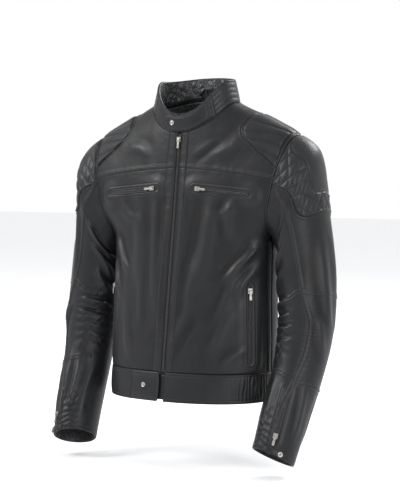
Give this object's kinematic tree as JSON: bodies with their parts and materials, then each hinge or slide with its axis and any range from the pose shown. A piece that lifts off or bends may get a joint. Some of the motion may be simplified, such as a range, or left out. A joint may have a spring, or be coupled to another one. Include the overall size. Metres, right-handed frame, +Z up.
{
  "type": "leather riding jacket",
  "caption": "Black leather riding jacket with stand collar, zip front, zipped pockets, padded shoulder patches, bending sleeves and zipped snap cuffs.",
  "frame": {"origin": "middle of the hanger loop's flat underside, inside the back of the neck", "axes": "+Z up, -Y towards the jacket's front, +X towards the wearer's left"},
  "size_m": [0.6572, 0.2731, 0.8083],
  "materials": {
    "leather": "smooth black cowhide with a soft sheen and fine grain",
    "trim_leather": "quilted and stitched black leather",
    "lining": "black woven lining",
    "protector": "dark grey moulded foam",
    "zip_tape": "black woven zip tape with dark teeth",
    "metal": "bright nickel plate"
  },
  "bodies": {
    "root": {"front_panel_left": "leather", "front_panel_right": "leather", "front_yoke_left": "leather", "front_yoke_right": "leather", "back_panel": "leather", "shoulder_patch_left": "trim_leather", "shoulder_patch_right": "trim_leather", "waistband_left": "leather", "waistband_right": "leather", "waistband_back": "leather", "hem_underlap": "trim_leather", "hem_snap_stud": "metal", "collar_shell": "leather", "collar_lining": "lining", "collar_snap_stud": "metal", "main_zip_left": "zip_tape", "main_zip_right": "zip_tape", "chest_zip_left": "zip_tape", "chest_zip_right": "zip_tape", "hand_zip_left": "zip_tape", "hand_zip_right": "zip_tape", "torso_lining": "lining", "back_protector": "protector", "shoulder_protector_left": "protector", "shoulder_protector_right": "protector", "hanger_loop": "trim_leather"},
    "upper_sleeve_left": {"upper_sleeve_outer_left": "leather", "upper_sleeve_inner_left": "leather", "elbow_panel_left": "leather"},
    "forearm_left": {"forearm_outer_left": "leather", "forearm_inner_left": "leather", "elbow_protector_left": "protector", "cuff_zip_left": "zip_tape"},
    "cuff_tab_left": {"cuff_tab_left": "trim_leather"},
    "chest_slider_left": {"chest_slider_left": "metal"},
    "chest_pull_left": {"chest_pull_left": "metal"},
    "hand_slider_left": {"hand_slider_left": "metal"},
    "hand_pull_left": {"hand_pull_left": "metal"},
    "cuff_slider_left": {"cuff_slider_left": "metal"},
    "cuff_pull_left": {"cuff_pull_left": "metal"},
    "upper_sleeve_right": {"upper_sleeve_outer_right": "leather", "upper_sleeve_inner_right": "leather", "elbow_panel_right": "leather"},
    "forearm_right": {"forearm_outer_right": "leather", "forearm_inner_right": "leather", "elbow_protector_right": "protector", "cuff_zip_right": "zip_tape"},
    "cuff_tab_right": {"cuff_tab_right": "trim_leather"},
    "chest_slider_right": {"chest_slider_right": "metal"},
    "chest_pull_right": {"chest_pull_right": "metal"},
    "hand_slider_right": {"hand_slider_right": "metal"},
    "hand_pull_right": {"hand_pull_right": "metal"},
    "cuff_slider_right": {"cuff_slider_right": "metal"},
    "cuff_pull_right": {"cuff_pull_right": "metal"},
    "main_slider": {"main_slider": "metal"},
    "main_pull": {"main_pull": "metal"},
    "collar_tab": {"collar_tab": "leather", "collar_snap_cap": "metal"},
    "hem_tab": {"hem_tab": "leather", "hem_snap_cap": "metal"}
  },
  "joints": [
    {"name": "main_zip", "type": "slide", "parent": "root", "child": "main_slider", "axis": [0, -0.1333, -0.9911], "range_m": [0, 0.485]},
    {"name": "main_pull_swing", "type": "hinge", "parent": "main_slider", "child": "main_pull", "pos_m": [0, -0.13386, -0.10874], "axis": [-1, 0, 0], "range_deg": [0, 120]},
    {"name": "chest_zip_left", "type": "slide", "parent": "root", "child": "chest_slider_left", "axis": [0.9921, 0.0898, -0.088], "range_m": [0, 0.105]},
    {"name": "chest_pull_swing_left", "type": "hinge", "parent": "chest_slider_left", "child": "chest_pull_left", "pos_m": [0.05675, -0.15224, -0.21302], "axis": [-0.0775, -0.1147, -0.9904], "range_deg": [0, 150]},
    {"name": "hand_zip_left", "type": "slide", "parent": "root", "child": "hand_slider_left", "axis": [0.0317, -0.0342, -0.9989], "range_m": [0, 0.135]},
    {"name": "hand_pull_swing_left", "type": "hinge", "parent": "hand_slider_left", "child": "hand_pull_left", "pos_m": [0.17345, -0.12672, -0.42492], "axis": [-0.6229, -0.7823, 0.007], "range_deg": [0, 150]},
    {"name": "shoulder_swing_left", "type": "hinge", "parent": "root", "child": "upper_sleeve_left", "pos_m": [0.216, -0.05029, -0.2117], "axis": [-0.9776, 0, 0.2104], "range_deg": [-15, 60]},
    {"name": "elbow_flex_left", "type": "hinge", "parent": "upper_sleeve_left", "child": "forearm_left", "pos_m": [0.27, -0.06328, -0.4986], "axis": [-1, 0, 0], "range_deg": [0, 70], "deforming": ["elbow_panel_left"]},
    {"name": "cuff_zip_left", "type": "slide", "parent": "forearm_left", "child": "cuff_slider_left", "axis": [0.0781, 0.3818, 0.9209], "range_m": [0, 0.09]},
    {"name": "cuff_pull_swing_left", "type": "hinge", "parent": "cuff_slider_left", "child": "cuff_pull_left", "pos_m": [0.27486, -0.20212, -0.70886], "axis": [-0.9078, -0.3545, 0.224], "range_deg": [0, 150]},
    {"name": "cuff_tab_lift_left", "type": "hinge", "parent": "forearm_left", "child": "cuff_tab_left", "pos_m": [0.25231, -0.21255, -0.73255], "axis": [-0.0577, -0.3863, -0.9206], "range_deg": [0, 70]},
    {"name": "chest_zip_right", "type": "slide", "parent": "root", "child": "chest_slider_right", "axis": [-0.9921, 0.0898, -0.088], "range_m": [0, 0.105]},
    {"name": "chest_pull_swing_right", "type": "hinge", "parent": "chest_slider_right", "child": "chest_pull_right", "pos_m": [-0.05675, -0.15224, -0.21302], "axis": [-0.0775, 0.1147, 0.9904], "range_deg": [0, 150]},
    {"name": "hand_zip_right", "type": "slide", "parent": "root", "child": "hand_slider_right", "axis": [-0.0317, -0.0342, -0.9989], "range_m": [0, 0.135]},
    {"name": "hand_pull_swing_right", "type": "hinge", "parent": "hand_slider_right", "child": "hand_pull_right", "pos_m": [-0.17345, -0.12672, -0.42492], "axis": [-0.6229, 0.7823, -0.007], "range_deg": [0, 150]},
    {"name": "shoulder_swing_right", "type": "hinge", "parent": "root", "child": "upper_sleeve_right", "pos_m": [-0.216, -0.05029, -0.2117], "axis": [-0.9776, 0, -0.2104], "range_deg": [-15, 60]},
    {"name": "elbow_flex_right", "type": "hinge", "parent": "upper_sleeve_right", "child": "forearm_right", "pos_m": [-0.27, -0.06328, -0.4986], "axis": [-1, 0, 0], "range_deg": [0, 70], "deforming": ["elbow_panel_right"]},
    {"name": "cuff_zip_right", "type": "slide", "parent": "forearm_right", "child": "cuff_slider_right", "axis": [-0.0781, 0.3818, 0.9209], "range_m": [0, 0.09]},
    {"name": "cuff_pull_swing_right", "type": "hinge", "parent": "cuff_slider_right", "child": "cuff_pull_right", "pos_m": [-0.27486, -0.20212, -0.70886], "axis": [-0.9078, 0.3545, -0.224], "range_deg": [0, 150]},
    {"name": "cuff_tab_lift_right", "type": "hinge", "parent": "forearm_right", "child": "cuff_tab_right", "pos_m": [-0.25231, -0.21255, -0.73255], "axis": [-0.0577, 0.3863, 0.9206], "range_deg": [0, 70]},
    {"name": "collar_tab_lift", "type": "hinge", "parent": "root", "child": "collar_tab", "pos_m": [0.06747, -0.11409, -0.04186], "axis": [-0.2208, 0, 0.9753], "range_deg": [0, 75]},
    {"name": "hem_tab_lift", "type": "hinge", "parent": "root", "child": "hem_tab", "pos_m": [-0.08045, -0.19449, -0.63033], "axis": [0, -0.1247, -0.9922], "range_deg": [0, 60]}
  ]
}
